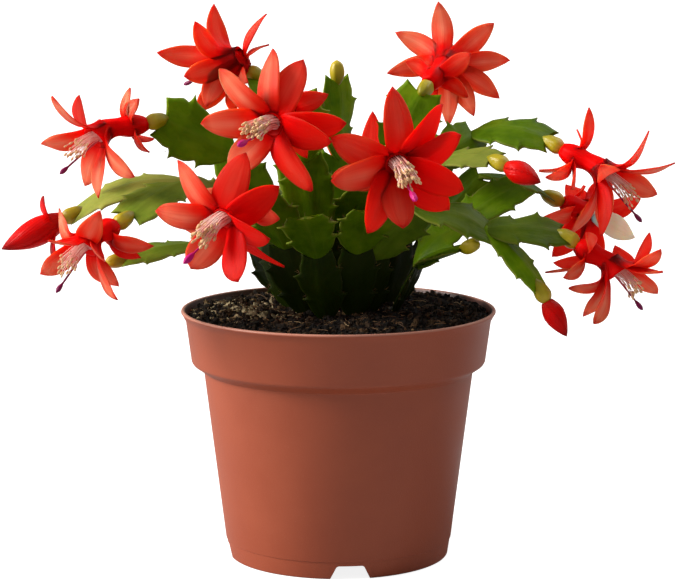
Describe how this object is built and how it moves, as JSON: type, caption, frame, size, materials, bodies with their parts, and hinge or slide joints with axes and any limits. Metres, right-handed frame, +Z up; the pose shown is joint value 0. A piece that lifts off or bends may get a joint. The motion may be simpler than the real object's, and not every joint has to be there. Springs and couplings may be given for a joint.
{
  "type": "potted christmas cactus",
  "caption": "Potted flowering Christmas cactus: arching stems of flat toothed pads with red tiered blooms and buds, in a round tapered plastic pot filled with soil.",
  "frame": {"origin": "middle of the pot's foot, on the surface that the pot stands on", "axes": "+Z up, +X to the plant's right as the picture shows it and along its widest spread, +Y to its back"},
  "size_m": [0.253, 0.1613, 0.2093],
  "materials": {
    "pot": "satin",
    "soil": "matte",
    "stem": "satin",
    "petals": "satin",
    "bud": "satin",
    "stamens": "matte",
    "pistil": "satin"
  },
  "bodies": {
    "root": {"pot": "pot", "soil": "soil", "bloom_left_high_petals": "petals", "bloom_left_high_stamens": "stamens", "bloom_left_high_pistil": "pistil", "bloom_left_low_petals": "petals", "bloom_left_low_stamens": "stamens", "bloom_left_low_pistil": "pistil", "bloom_back_left_petals": "petals", "bloom_back_left_stamens": "stamens", "bloom_back_left_pistil": "pistil", "bloom_up_left_petals": "petals", "bloom_up_left_stamens": "stamens", "bloom_up_left_pistil": "pistil", "bloom_front_left_petals": "petals", "bloom_front_left_stamens": "stamens", "bloom_front_left_pistil": "pistil", "bloom_centre_petals": "petals", "bloom_centre_stamens": "stamens", "bloom_centre_pistil": "pistil", "bloom_back_right_petals": "petals", "bloom_back_right_stamens": "stamens", "bloom_back_right_pistil": "pistil", "bloom_right_high_petals": "petals", "bloom_right_high_stamens": "stamens", "bloom_right_high_pistil": "pistil", "bloom_right_low_petals": "petals", "bloom_right_low_stamens": "stamens", "bloom_right_low_pistil": "pistil", "bloom_right_mid_petals": "petals", "bloom_right_mid_stamens": "stamens", "bloom_right_mid_pistil": "pistil", "bloom_back_petals": "petals", "bloom_back_stamens": "stamens", "bloom_back_pistil": "pistil", "bud_left": "bud", "bud_right_high": "bud", "bud_right_low": "bud", "bud_back": "bud", "stem_left": "stem", "stem_front_left": "stem", "stem_front": "stem", "stem_front_right": "stem", "stem_up_left": "stem", "stem_back_left": "stem", "stem_centre": "stem", "stem_back_right": "stem", "stem_right_high": "stem", "stem_right_mid": "stem", "stem_right_bud": "stem", "stem_right_low": "stem", "stem_back": "stem", "stem_back_low_left": "stem", "stem_back_low_right": "stem"}
  },
  "joints": []
}
